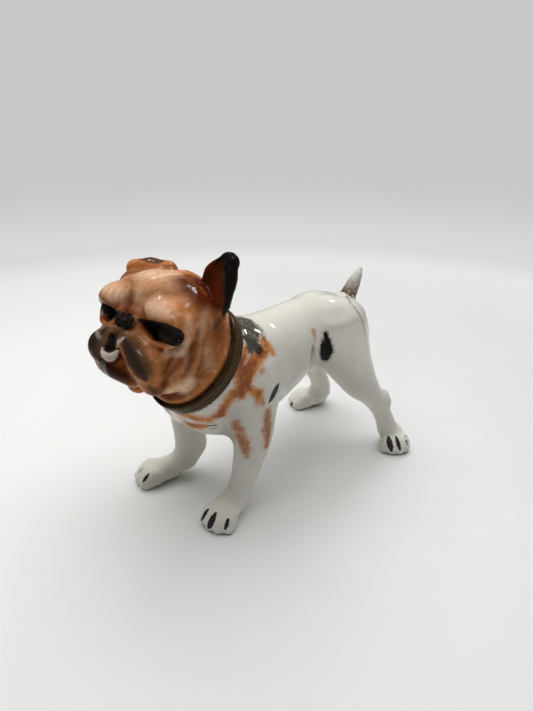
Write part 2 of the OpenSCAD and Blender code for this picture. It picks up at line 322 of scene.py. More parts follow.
def head_field(P):
    q = HEAD_TURN.T @ (P - HEAD_AT[:, None])
    s = mirrored(q)
    skull, temple, jaw = (0, 2, 4), (10.6, -7.6, 5.6), (10, 1, -6)
    skull_r, temple_r, jaw_r = (15.6, 13.6, 13.6), 5.8, (7.6, 9.6, 8.6)
    d = lobe(s, skull, skull_r, temple, temple_r)
    d = smin(d, lobe(s, skull, skull_r, jaw, jaw_r), 3)
    d = smin(d, lobe(s, temple, temple_r, jaw, jaw_r), 3)
    d = smin(d, lobe(q, (0, -7, 7.6), (9.6, 8, 9)), 4)
    d = smin(d, lobe(s, (7, -3.4, 10), 5, (11.4, -1.4, 8.6), 5.2), 4)
    # throat
    base = (HEAD_TURN.T @ (NECK_AT - NECK_UP * 1.5 - HEAD_AT))[:, None]
    up = HEAD_TURN.T @ NECK_UP
    h = up @ (q - base)
    radial = q - base - up[:, None] * h
    ring = np.sqrt((radial ** 2).sum(0)) - THROAT_R
    d = smin(d, smax(ring, np.abs(h - 3.2) - 3.6, 2.5), 5)
    d = smin(d, lobe(s, (8, 6, -6), (9, 9, 9), (9, 2, -5), (8.6, 10, 10)), 4)
    d = smin(d, lobe(s, (6, 9, 2), (8, 7, 9), (7, 6, 4), (9, 8, 9)), 4)
    # cheeks and jowls
    d = smin(d, lobe(s, (12.8, -4, -4), (5.6, 6.8, 6.8), (12, -2.4, -9), (5.8, 6.8, 6.8)), 2.5)
    d = smin(d, lobe(s, (13.2, -8.2, -3.4), (3.6, 3.4, 2.8), (11.4, -8.4, -12), (4.6, 5, 4.6)), 2.5)
    # muzzle core
    d = smin(d, lobe(q, (0, -12.6, -1.6), (7.4, 6.4, 4.6), (0, -13, -8.6), (8.6, 6.6, 5.2)), 2.5)
    # brows
    d = smin(d, lobe(s, (7.4, -11.8, 6.9), (4, 4.5, 3.8), (12.4, -11, 5.4), (5.2, 5, 4.6)), 2.6)
    # eye sockets, cut back to the eyeballs
    d = smax(d, -lobe(s, (7.4, -17, 2.6), (2.8, 2.6, 1.6), (13.6, -15, 2.2), (3.6, 3.4, 2.6)), 1.8)
    # lower jaw, under the flews
    d = smin(d, lobe(s, (0, -16.4, -11), (4.8, 4.6, 4.6), (4.4, -14.8, -12), (4.4, 4.6, 4.2)), 1.6)
    # flews
    flew = lobe(s, (3.3, -18.2, -2.6), (3.1, 3.1, 3.1), (8.6, -15.8, -7.6), (4.6, 4.6, 5))
    flew = smin(flew, lobe(s, (8.6, -15.8, -7.6), (4.6, 4.6, 5), (9.8, -11.6, -13), (4.4, 4.6, 4.4)), 1)
    d = smin(d, flew, 0.9)
    # the roll over the nose, running down outside the flews
    roll = string(s, [(2.4, -15, 5, 1.5), (5, -15.6, 0.4, 1.7), (8.4, -14.8, -2.2, 1.9), (12, -13, -4, 1.9),
                      (12.6, -12, -8, 1.6)])
    d = smin(d, roll, 2)
    # philtrum
    d = smax(d, -string(q, [(0, -21.6, 0.4, 0.9), (0, -22, -4.2, 1.3)]), 0.9)
    # dewlap
    d = smin(d, lobe(q, (-0.4, -8, -18.4), (3.4, 2.8, 2.5)), 1.4)
    # nose: two lobes, a bridge fold behind it, and nostrils
    d = smin(d, lobe(s, (0, -14.6, 4.8), (3, 2.4, 2), (3.2, -14, 4.4), (2.2, 2.2, 1.8)), 1.2)
    nose = lobe(s, (1.7, -16.6, 2.9), (2.3, 2.2, 2.1))
    nose = smin(nose, lobe(q, (0, -16.8, 2), (2, 1.9, 1.8)), 0.8)
    d = smin(d, nose, 0.5)
    d = smax(d, -lobe(s, (1.9, -19.2, 2.4), (0.8, 1.2, 0.7)), 0.5)
    # teeth
    d = smin(d, string(q, TEETH), 0.6)
    # eyeballs and lids
    d = smin(d, lobe(s, (12.4, -11.6, 2.2), 3.5), 0.5)
    lid = string(s, [(3.6, -15.2, 4, 0.6), (8, -15, 4.9, 0.8), (12.4, -14.4, 5.4, 0.9), (16.6, -12, 4, 0.8)])
    d = smin(d, lid, 1.4)
    lid = string(s, [(5.7, -15.4, 0.6, 0.6), (9.7, -15, -1.2, 0.7), (13.6, -13.8, -1.4, 0.8),
                     (16.6, -11.8, 0.8, 0.7)])
    d = smin(d, lid, 1.4)
    # central furrow
    d = smax(d, -string(q, [(0, -17.6, 5, 0.8), (0, -17.2, 9, 0.8)]), 3)
    # left ear, cupped
    ear = lobe(q, (13, 3.4, 12), (6.4, 3.6, 5), (13.4, 4.4, 19), (5.8, 2.8, 5))
    ear = smin(ear, lobe(q, (13.4, 4.4, 19), (5.8, 2.8, 5), (15.2, 4.8, 24), (3.6, 2, 3.1)), 1.5)
    cup = lobe(q, (11.6, -0.2, 15), (3.9, 3, 3.4), (13.4, 1.6, 22), (3.4, 2.3, 3.4))
    ear = smax(ear, -cup, 1)
    d = smin(d, ear, 1.8)
    # right ear, folded down
    fold = lobe(q, (-7.6, 4, 16.6), (2.4, 3.4, 2.8), (-14, 3, 15.8), (3, 3.8, 2.8))
    fold = smin(fold, lobe(q, (-14, 3, 15.8), (3, 3.8, 2.8), (-19.2, 1.6, 14.3), (2.7, 3.6, 2.9)), 1.5)
    d = smin(d, lobe(q, (-9, 3, 12), (4, 4.6, 4), (-15.2, 0, 10.4), (4.6, 6, 4.4)), 4)
    d = smin(d, fold, 2)
    for line, depth in CREASES:
        d += depth * np.exp(-(np.maximum(beside(s, line) + 0.6, 0) / 1.2) ** 2) * (s[1] < 4)
    return smax(d, -above_neck(P) - NECK_LAP, 0.3)


# ---------------------------------------------------------------- meshing


def evaluate(field, P):
    """field over P, a block at a time on every core."""
    step = 60000
    blocks = [P[:, i:i + step] for i in range(0, P.shape[1], step)]
    with ThreadPoolExecutor(4) as pool:
        return np.concatenate(list(pool.map(field, blocks)))


def gradient(field, P, e):
    """Unit normal of the field from four points about each place, and its steepness."""
    g = np.zeros_like(P)
    for k in ((1, -1, -1), (-1, -1, 1), (-1, 1, -1), (1, 1, 1)):
        k = vec(*k)[:, None]
        g += k * evaluate(field, P + k * e)
    g /= 4 * e
    size = np.sqrt((g * g).sum(0))
    return g / np.maximum(size, 1e-6), size


def surface(field, lo, hi, cell):
    """Closed quads round field < 0: surface nets on a fine grid that is only filled near the surface."""
    m = 5
    block = cell * m
    shape = [int(math.ceil((hi[i] - lo[i]) / block)) + 1 for i in range(3)]
    axes = [lo[i] + block * np.arange(shape[i], dtype=np.float32) for i in range(3)]
    G = np.stack(np.meshgrid(*axes, indexing="ij")).reshape(3, -1)
    coarse = evaluate(field, G).reshape(shape)
    low = np.full([n - 1 for n in shape], 1e9, np.float32)
    corners = list(product((0, 1), repeat=3))
    for i, j, k in corners:
        part = coarse[i:shape[0] - 1 + i, j:shape[1] - 1 + j, k:shape[2] - 1 + k]
        low = np.minimum(low, np.abs(part))
    active = low < block * 1.35
    fine = [(n - 1) * m for n in shape]
    F = np.repeat(np.repeat(np.repeat(coarse[:-1, :-1, :-1], m, 0), m, 1), m, 2)
    F = np.where(F < 0, np.float32(-9), np.float32(9))
    mask = np.repeat(np.repeat(np.repeat(active, m, 0), m, 1), m, 2)
    I = np.nonzero(mask)
    P = np.stack([lo[i] + cell * I[i].astype(np.float32) for i in range(3)])
    F[I] = evaluate(field, P)

    inside = F < 0
    n = [f - 1 for f in fine]
    count = np.zeros(n, np.uint8)
    for i, j, k in corners:
        count += inside[i:n[0] + i, j:n[1] + j, k:n[2] + k]
    cells = np.nonzero((count > 0) & (count < 8))
    index = np.full(n, -1, np.int32)
    index[cells] = np.arange(len(cells[0]))
    total = np.zeros((3, len(cells[0])), np.float32)
    hits = np.zeros(len(cells[0]), np.float32)
    for c in corners:
        for axis in range(3):
            if c[axis]:
                continue
            d = list(c)
            d[axis] = 1
            a = F[cells[0] + c[0], cells[1] + c[1], cells[2] + c[2]]
            b = F[cells[0] + d[0], cells[1] + d[1], cells[2] + d[2]]
            cross = (a < 0) != (b < 0)
            t = np.where(cross, a / np.where(cross, a - b, 1), 0)
            for i in range(3):
                total[i] += cross * (c[i] + (t if i == axis else 0))
            hits += cross
    V = np.stack([lo[i] + cell * (cells[i] + total[i] / hits) for i in range(3)])
    quads = []
    for axis in range(3):
        u, w = (axis + 1) % 3, (axis + 2) % 3
        sl = [slice(1, None)] * 3
        sl[axis] = slice(None, -1)
        nxt = list(sl)
        nxt[axis] = slice(1, None)
        A, B = inside[tuple(sl)], inside[tuple(nxt)]
        e = list(np.nonzero(A != B))
        flip = B[tuple(e)]
        for i in range(3):
            if i != axis:
                e[i] = e[i] + 1
        ring = []
        for du, dw in ((0, 0), (1, 0), (1, 1), (0, 1)):
            f = [x.copy() for x in e]
            f[u] -= du
            f[w] -= dw
            ring.append(index[tuple(f)])
        q = np.stack(ring, 1)
        q[flip] = q[flip][:, ::-1]
        quads.append(q)
    return V.astype(np.float32), np.concatenate(quads)


def edges(Q):
    """Where each quad's four edges start, and where they end."""
    return Q.T.ravel(), np.roll(Q, -1, 1).T.ravel()


def relax(V, Q, times):
    """Evens out the quads by moving each corner halfway to its neighbours' mean."""
    a, b = edges(Q)
    n = V.shape[1]
    deg = np.bincount(a, minlength=n) + np.bincount(b, minlength=n)
    for _ in range(times):
        mean = np.stack([np.bincount(a, V[i][b], n) + np.bincount(b, V[i][a], n)
                         for i in range(3)]) / deg
        V = (V + (mean - V) * 0.5).astype(np.float32)
    return V


def settle(field, V, cell, times):
    """Moves each corner onto the surface."""
    for _ in range(times):
        n, size = gradient(field, V, PROBE)
        d = evaluate(field, V) / np.maximum(size, 0.3)
        V = V - n * np.clip(d, -0.7 * cell, 0.7 * cell)
    return V


def sculpt(field, lo, hi, cell):
    V, Q = surface(field, lo, hi, cell)
    V = settle(field, V, cell, 1)
    V = relax(V, Q, 3)
    V = settle(field, V, cell, 2)
    return V, Q


def scene_place(V):
    """Design millimetres to the frame's metres, one row for each corner."""
    W = V.T.astype(np.float64).copy()
    W[:, 1] += STAND_Y
    return W * MM


def split(field, V, Q, regions):
    """Cuts one skin into pieces along planes. regions is a list of (name, test, plane point, plane
    normal); what no test claims is the first name. Returns {name: (V, quads, cap triangles)}."""
    C = V[:, Q].mean(2)
    label = np.zeros(len(Q), np.int32)
    for i, (_, test, at, up) in enumerate(regions):
        if test is not None:
            label[test(C) & (vec(*up) @ (C - vec(*at)[:, None]) > 0)] = i
    V = V.copy()
    for i, (_, test, at, up) in enumerate(regions):
        if test is None:
            continue
        up, at = vec(*up), vec(*at)[:, None]
        mine = np.unique(Q[label == i])
        rest = np.unique(Q[label != i])
        seam = np.intersect1d(mine, rest)
        P = V[:, seam]
        for _ in range(4):
            P = P - up[:, None] * (up @ (P - at))
            n, size = gradient(field, P, PROBE)
            d = evaluate(field, P) / np.maximum(size, 0.3)
            n = n - up[:, None] * (up @ n)
            P = P - n * np.clip(d / np.maximum((n * n).sum(0), 0.2), -0.3, 0.3)
        V[:, seam] = P
    starts, ends = edges(Q)
    owner = np.tile(label, 4)
    n = V.shape[1]
    key = starts.astype(np.int64) * n + ends
    back = ends.astype(np.int64) * n + starts
    order = np.argsort(key)
    other = owner[order[np.searchsorted(key[order], back)]]
    out = {}
    for i, (name, *_) in enumerate(regions):
        ids = np.unique(Q[label == i])
        caps, extra = [], []
        for j in range(len(regions)):
            rim = (owner == i) & (other == j) & (i != j)
            if rim.any():
                a, b = starts[rim], ends[rim]
                c = n + len(extra)
                extra.append(V[:, np.unique(a)].mean(1))
                caps.append(np.stack([b, a, np.full(len(a), c)], 1))
        every = np.concatenate([V, np.array(extra).T.reshape(3, -1)], 1) if extra else V
        ids = np.concatenate([ids, n + np.arange(len(extra))]).astype(np.int64)
        lookup = np.full(every.shape[1], -1, np.int64)
        lookup[ids] = np.arange(len(ids))
        tri = lookup[np.concatenate(caps)] if caps else np.zeros((0, 3), np.int64)
        out[name] = (every[:, ids].astype(np.float32), lookup[Q[label == i]], tri)
    return out


def make_piece(name, node, V, quads, tris, layers, material, normals=None):
    """A smooth mesh with its paint layers, riding on the part in place of one of its nodes."""
    mesh = bpy.data.meshes.new(name)
    mesh.vertices.add(V.shape[1])
    mesh.vertices.foreach_set("co", scene_place(V).ravel())
    corners = np.concatenate([quads.ravel(), tris.ravel()]).astype(np.int32)
    mesh.loops.add(len(corners))
    mesh.loops.foreach_set("vertex_index", corners)
    mesh.polygons.add(len(quads) + len(tris))
    mesh.polygons.foreach_set("loop_start", np.concatenate([
        np.arange(len(quads)) * 4, len(quads) * 4 + np.arange(len(tris)) * 3]).astype(np.int32))
    mesh.update(calc_edges=True)
    mesh.polygons.foreach_set("use_smooth", np.ones(len(mesh.polygons), bool))
    if normals is not None:
        mesh.normals_split_custom_set(normals(corners).astype(float).tolist())
    for key, values in layers.items():
        if values.ndim == 1:
            mesh.attributes.new(key, "FLOAT", "POINT").data.foreach_set("value", values.astype(np.float32))
        else:
            rgba = np.ones((V.shape[1], 4), np.float32)
            rgba[:, :3] = values
            mesh.attributes.new(key, "FLOAT_COLOR", "POINT").data.foreach_set("color", rgba.ravel())
    mesh.materials.append(material)
    obj = bpy.data.objects.new(name, mesh)
    bpy.context.scene.collection.objects.link(obj)
    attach(obj, "root")
    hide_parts(node)


def sculpted_piece(node, field, part, paint, material):
    """A piece of a skin from split(): shaded by the field's own slope, with flat caps."""
    V, quads, tris = part
    N, _ = gradient(field, V, 0.2)

    def normals(corners):
        each = N[:, corners].T.copy()
        if len(tris):
            t = V[:, tris]
            flat = np.cross((t[:, :, 1] - t[:, :, 0]).T, (t[:, :, 2] - t[:, :, 0]).T)
            flat /= np.maximum(np.linalg.norm(flat, axis=1, keepdims=True), 1e-9)
            each[len(quads) * 4:] = np.repeat(flat, 3, 0)
        return each

    make_piece(node + "_form", node, V, quads, tris, paint(V, N), material, normals)


# ---------------------------------------------------------------- paint


def edge(d, soft):
    """1 inside a stroke, 0 outside it, 0.5 on its edge."""
    t = np.clip(0.5 - d / soft, 0, 1)
    return t * t * (3 - 2 * t)


def most(*masks):
    out = masks[0]
    for m in masks[1:]:
        out = np.maximum(out, m)
    return out


def marks(V, strokes, soft):
    """Brush strokes laid on the surface: each a list of (x, y, z, half width)."""
    return most(*[edge(string(V, line), soft) for line in strokes])


def dab(q, line, soft):
    """A stroke on the head, drawn from the dog's left front, no deeper than reach."""
    reach = 6
    wide = [(x, y, z, r + reach) for x, y, z, r in line]
    return edge(np.maximum(beside(q, line), string(q, wide)), soft)


def hollow(field, V, N, far):
    """0 on a flat or round place, towards 1 in a crease, from the room in front of the surface."""
    return np.clip(1 - evaluate(field, V + N * far) / far, 0, 1)


SOOT = [[(-1, -19.4, 66.4, 2.4), (3.4, -17.4, 66, 3), (7.6, -18.6, 65, 3.2), (11, -21.4, 63.2, 2.8),
         (13.4, -23.6, 61.4, 2.2)],
        [(10.6, -23.2, 63.9, 1.6), (12.8, -21.6, 61.6, 2), (14, -21, 60.4, 1.8)],
        [(-1.4, -20.8, 66.6, 1.2), (6, -21.6, 65.6, 1.4), (9.6, -17.6, 64.4, 0.9)],
        [(3, -16.4, 65.9, 1.6), (6.4, -15.8, 65, 1.8), (9.4, -15.8, 63.6, 1.6), (11.8, -17, 62, 1.4)]]
RUST = [
    [(11.2, -18, 62.6, 1), (13.2, -17, 60.4, 1.8), (14.6, -20, 58.8, 2.2), (16, -24.6, 57.2, 2.8),
     (17, -28, 55.4, 3.4), (17.8, -31, 52.8, 3.4), (18.4, -31.6, 50, 2.6)],
    [(15.8, -29.6, 60, 2), (16.8, -31.6, 56.6, 2.6)], [(14, -26, 61.4, 1.6), (15.6, -28.4, 60, 1.8)],
    [(13.4, -17, 60.2, 1.6), (15, -15.6, 58, 1)], [(17, -23, 54.8, 1.4)],
    [(18.8, -29, 50.6, 2), (20, -25.6, 48.2, 1.7), (20.3, -26.3, 46.4, 1.4)],
    [(18.4, -34, 50.4, 2.2), (17.2, -37, 47, 2), (15.9, -38, 43.4, 1.6), (13.6, -40.6, 41.4, 1.7),
     (10.5, -44.2, 41.8, 1.5), (6.9, -46.5, 42.2, 1.3), (2, -47, 43, 1)],
    [(11, -41.2, 37.6, 1.4), (7.2, -42.6, 36.8, 2.6), (2, -43.6, 37, 3.2), (-4, -44, 38, 3),
     (-9, -44, 40, 3.2), (-13, -42.6, 43.6, 2.8), (-15, -40, 47.6, 2)],
    [(-14.6, -31, 62, 1.8), (-16.4, -25, 57, 3.2), (-17.4, -29, 52, 3), (-17.6, -34, 49, 2)],
    [(-15.4, 8, 55, 2), (-16, 11, 51.4, 2.6), (-15.4, 14, 49, 1.4)]]
TINT = [
    [(18, -33.4, 39, 1.8), (18.4, -32.4, 34, 2.6), (19.4, -31.4, 29, 2.4), (19.6, -31, 26, 1.2)],
    [(18.2, -32.6, 33, 1.4), (19, -31.8, 30, 1.6)],
    [(21.2, -23, 41, 1.8), (21.7, -23.2, 35, 2.8), (21.4, -23.8, 28, 1.6)], [(21.6, -23.2, 36, 1.6)],
    [(12.2, 6.4, 58.6, 1.2), (13, 5.6, 56, 0.7)], [(13.4, 4.6, 55, 0.3), (13.7, 4.3, 46, 0.5)],
    [(20.4, -25, 45, 2)],
    [(15.8, -6.5, 46.2, 0.5)], [(-20.6, -28, 39, 1.4), (-20.6, -28, 30, 1.2)]]
INK = [
    [(20.8, -22.5, 43.6, 0.1), (20.3, -20.8, 44.7, 0.9), (19.8, -19.2, 45.8, 1.3), (19.2, -17.4, 46.9, 1.2),
     (18.4, -15.2, 48.2, 0.1)],
    [(13.6, -46.2, 3.2, 0.5), (14, -45.6, 4.5, 0.8), (14.3, -44.8, 5.8, 0.75), (14.2, -43.6, 6.9, 0.4)],
    [(17.8, -46, 2.8, 0.7), (18, -45.4, 4, 1.15), (18, -44.4, 5.6, 1.15), (17.6, -43, 7, 0.6)],
    [(22.3, -42.4, 3.2, 0.45), (22.3, -41.8, 4.4, 0.75), (22.1, -41.2, 5.6, 0.65), (21.9, -40.6, 6.6, 0.3)],
    [(21.9, -37.4, 5.2, 0.3)],
    [(25.8, 38.8, 7.2, 0.6), (27, 38, 6, 1.2), (28.2, 37.5, 4.3, 1.25), (29, 37.3, 2.7, 0.7)],
    [(27.8, 41.3, 7.4, 0.45), (29.2, 40.5, 6.3, 0.85), (30.4, 40, 5, 0.9), (31.3, 40, 3.3, 0.5)],
    [(29.6, 45.1, 7, 0.3), (31, 43.9, 5.6, 0.5), (31.9, 43.9, 4.2, 0.3)],
    [(-22.1, -51.7, 4.1, 0.25), (-21.7, -50.8, 5.4, 0.4), (-21, -49.5, 6.6, 0.2)],
    [(-17, -52, 4, 0.5), (-16.8, -51.4, 4.9, 0.8), (-16.7, -50.3, 6, 0.6), (-16.6, -49.4, 6.8, 0.2)],
    [(-25, -48, 3.4, 0.3), (-24.6, -46.8, 5.2, 0.6), (-23.8, -45.4, 6.2, 0.2)],
    [(-27.3, 31.6, 0.9, 0.4), (-26.6, 31.8, 1.9, 0.7), (-25, 32.6, 3.8, 0.3)],
    [(-31, 35.4, 2.6, 0.3), (-30, 35.6, 4.4, 0.6), (-28.6, 36.2, 6, 0.2)],
    [(-19.6, -20.4, 44.8, 0.2), (-19.2, -18, 46.4, 1), (-18.4, -15.6, 47.7, 0.1)]]
BLOTCH = [[(13, 9.6, 55.4, 0.9), (13.8, 9.4, 53, 1.7), (14.5, 9.2, 50.4, 1.8), (14.6, 9.2, 48.4, 1.2)],
          [(13.5, 10.9, 57.2, 1.2), (14.4, 11, 54, 1.9), (15.2, 10.8, 51, 2.2), (14.9, 9.8, 48.6, 1.7)]]
CREST = [[(3, 33, 63.8, 0.7), (6, 30, 64.2, 0.6), (9.4, 28.2, 63.8, 0.5), (12.8, 28.9, 60.7, 0.5),
          (14.4, 30.7, 55.8, 0.4), (16.6, 30.6, 51, 0.25)]]
RING = [[(10.4, -41, 37.4, 0.2), (12, -40.2, 38.2, 0.35), (14, -38.2, 38.4, 0.25)],
        [(10.6, -40.8, 36.4, 0.2), (12.6, -39, 36.4, 0.35), (14.2, -37.8, 37.6, 0.2)]]


def body_paint(V, N):
    # painted shade: the white is darkened in creases and hollows, and on the chest under the head
    small, wide = hollow(body_field, V, N, 0.9), hollow(body_field, V, N, 4)
    soot = most(0.92 * marks(V, SOOT[:1], 2.6), 1.2 * marks(V, SOOT[1:3], 2.6), 0.7 * marks(V, SOOT[3:], 3.4))
    blotch = 1.05 * marks(V, BLOTCH, 4.2)
    rear = 0.7 * edge(np.abs(above_neck(V) + STRAP_W / 2) - 0.5, 1.2)
    tail = np.where(V[1] > 34, edge(lobe(V, (0, 37, 63.6), (4, 4.6, 3)), 2.4), 0)
    tip = np.where(V[1] > 34, np.clip((V[2] - 62.5) / 3, 0, 1) * np.clip((72 - V[2]) / 6, 0, 1), 0)
    chest_shade = edge(lobe(V, (4, -36, 38), (20, 16, 14)), 9)
    return {
        "ink": most(marks(V, INK, 0.9), marks(V, RING, 0.6), 0.8 * marks(V, BLOTCH, 3.2)),
        "soot": most(soot, blotch, rear * (V[0] > -19)),
        "rust": most(1.1 * marks(V, RUST, 5.4), 0.42 * marks(V, BLOTCH, 5)),
        "tint": 1.25 * marks(V, TINT, 5.2),
        "smoke": most(1.4 * tail, 0.95 * tip, 0.9 * marks(V, CREST, 1.2)),
        "cavity": np.clip(1.1 * small + 0.75 * wide - 0.1 + 0.42 * chest_shade, 0, 1)}


TAN, DEEP, PALE = vec(0.56, 0.205, 0.062), vec(0.12, 0.016, 0.002), vec(0.95, 0.66, 0.44)
BROWN, UMBER, GREY = vec(0.3, 0.085, 0.018), vec(0.16, 0.05, 0.01), vec(0.095, 0.055, 0.03)
PITCH, EAR_RED, BONE = vec(0.015, 0.004, 0.001), vec(0.085, 0.009, 0.002), vec(0.66, 0.62, 0.56)
BOTH, ONE = True, False             # a stroke on both sides of the face, or only where it is drawn
# the face's strokes, in the order they are painted: colour, strength, softness, sides and line
BASE_STROKES_AND_HIGHLIGHTS = [
    (TAN, 0.35, 4, ONE, [(-6, -14, 11.6, 1.4), (-2, -12.6, 13.4, 1.6), (4.8, -9.3, 14.9, 2),
                         (9, -8, 13.8, 1.4)]),
    (BROWN, 0.6, 3, BOTH, [(2.9, -14.7, 10.7, 0.6), (5.8, -12.9, 12.9, 1.1), (10.6, -10.5, 12.8, 1)]),
    (BROWN, 0.6, 4, BOTH, [(8.6, -1.8, 15.6, 1), (12, -2.4, 14, 2), (15.6, -3.4, 10.4, 1.4)]),
    # pale rows: paler paint, and painted highlights on the brows, the sides of the face and under the eyes
    (PALE, 0.8, 4, BOTH, [(6, -15.4, 8, 1.2), (8.9, -15.6, 8.2, 2.2), (12.4, -14.4, 8.6, 1.6)]),
    (PALE, 0.6, 2.6, BOTH, [(17.3, -11, 8.3, 0.8), (17.4, -10.2, 5.4, 1.1), (17.1, -9.5, 3, 0.7)]),
    (PALE, 0.55, 2.6, BOTH, [(16, -3.3, 10.2, 0.7), (16.7, -3.7, 5, 1.1), (17.2, -4.4, 1.4, 0.7)]),
    (PALE, 0.65, 2.4, BOTH, [(13.6, -12.8, -2.8, 0.8), (16, -10.2, -2, 1.3), (17.2, -9, 1, 0.7)]),
    (PALE, 0.4, 2.4, BOTH, [(17, -7.4, -3, 0.8), (16.9, -7.4, -8, 0.9)]),
    (PALE, 0.6, 3.4, BOTH, [(13.2, -9, -16, 1), (15.4, -6.6, -14.5, 2), (17, -4.7, -12, 1.4)]),
    (PALE, 0.35, 4, BOTH, [(18, -1.6, -2, 1.6), (17, 2, -6, 2)]),
    (DEEP, 0.5, 3.4, ONE, [(-1.4, -15.6, 9.4, 0.6), (-1.2, -16, 7.4, 1.2), (0.8, -16, 5.2, 1.2)])]
FOLDS = [
    (PITCH, 0.9, 4, ONE, [(-4, -20.4, -10.4, 1.8), (1.4, -20.6, -12, 2.4), (5.5, -19, -12.4, 1.2)]),
    # the carved creases, darker the deeper they are cut: brown gathered in them, and painted shade
    *((DEEP, 0.35 + 0.8 * depth, 3, BOTH, [(x, y, z, 0.8 * r) for x, y, z, r in line])
      for line, depth in CREASES),
    (DEEP, 0.95, 2.6, BOTH, [(14.8, -11.6, -3.6, 0.3), (14.4, -12.4, -6.4, 0.8), (14.1, -12.9, -9, 0.8)]),
    (DEEP, 0.75, 2.6, BOTH, [(17.1, -7, -1, 0.3), (17.5, -7.3, -4.4, 0.7), (17.2, -7, -7.4, 0.6)]),
    (DEEP, 0.6, 2.6, ONE, [(-1.9, -14.6, 10, 0.5), (-1.6, -15.4, 7.4, 1.1), (-1, -16.4, 4.8, 1.2)]),
    (DEEP, 0.5, 2.6, BOTH, [(3.6, -16.6, 5.6, 0.5), (8, -16.6, 5, 0.6), (13, -15, 5.4, 0.5)]),
    (DEEP, 0.7, 2.6, BOTH, [(14.4, -12.2, -12, 0.6), (11.6, -10, -16.4, 0.9), (8.5, -3, -20.6, 0.8)]),
    (BROWN, 0.6, 3, BOTH, [(18.2, -2.6, -7.6, 1), (17.8, -1.6, -10, 1.2)]),
    (UMBER, 0.6, 4, BOTH, [(9.6, -3, 15.2, 0.8), (13, -3.6, 13.2, 1.6), (15.6, -3.6, 11.2, 1)])]
# painted highlights under the eyes and on the jowls
PAINTED_HIGHLIGHTS = [
    (PALE, 0.85, 2, BOTH, [(13.6, -12.8, -3, 0.8), (16, -10.2, -2.2, 1.3), (17.2, -9, 1, 0.6)]),
    (PALE, 0.85, 3, BOTH, [(13.4, -8.6, -15.6, 1), (15.6, -6.2, -14, 2), (17, -4.7, -11.4, 1.2)])]
SMUDGES = [
    (GREY, 0.85, 3, BOTH, [(12.2, -15.6, -13.8, 1), (12.8, -13.9, -15.3, 1.8), (10, -11, -18, 1.4)]),
    (GREY, 0.55, 2, BOTH, [(16.2, 3.5, 5.2, 0.6), (16.6, 2, 4, 0.5)])]
EYE = [(2.8, -14.5, 3.4, 0.4), (7.2, -14.2, 3, 1.6), (11.2, -13.4, 2.2, 2.7), (14.6, -12, 1.8, 2.6),
       (16.2, -11.5, 2.6, 1.1)]
FAR_EYE = [(-12.8, -15, 3.4, 0.5), (-10.4, -15, 2.6, 1.6), (-8.4, -15, 2.2, 1.6), (-6.2, -15, 2.3, 0.4)]
TEETH = [(-4.2, -20.3, -7.1, 0.4), (-3.7, -20.5, -7.8, 0.7), (-2.5, -20.7, -8.3, 1), (-1, -20.8, -8.4, 1.15),
         (0.4, -20.8, -8, 1.15), (1.5, -20.8, -7.1, 1), (2.3, -20.6, -5.9, 0.6)]
NOSE = [[(1.7, -18, 3.2, 1.9), (1.4, -18, 1.6, 1.4)], [(-1.7, -18, 3.2, 1.9), (-1.4, -18, 1.6, 1.4)]]


